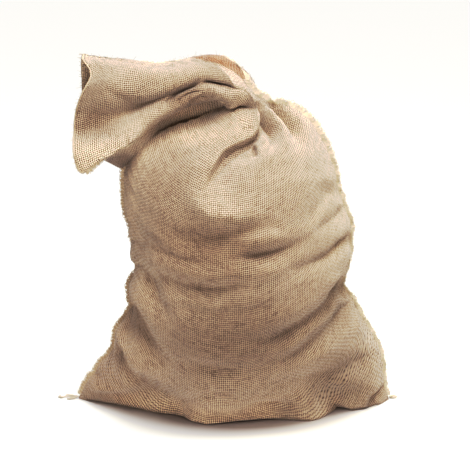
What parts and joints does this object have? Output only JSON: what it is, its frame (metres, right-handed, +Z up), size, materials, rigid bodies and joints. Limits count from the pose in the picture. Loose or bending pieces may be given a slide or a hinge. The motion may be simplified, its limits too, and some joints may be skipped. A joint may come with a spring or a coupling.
{
  "type": "hessian sack",
  "caption": "Filled hessian sack that stands upright, drawn in at the top, its empty open neck flopped over to one side, with overlocked side seams.",
  "frame": {"origin": "middle of the sack's base, on the surface it stands on", "axes": "+Z up; the front, with the main crease, faces -Y; the empty neck points to -X"},
  "size_m": [0.6399, 0.3502, 0.663],
  "materials": {
    "hessian": "coarse plain-woven jute, matt",
    "jute_thread": "twisted jute sewing thread, matt"
  },
  "bodies": {
    "root": {"sack_cloth": "hessian", "left_seam": "jute_thread", "right_seam": "jute_thread", "left_thread_tail": "jute_thread", "right_thread_tail": "jute_thread"}
  },
  "joints": []
}
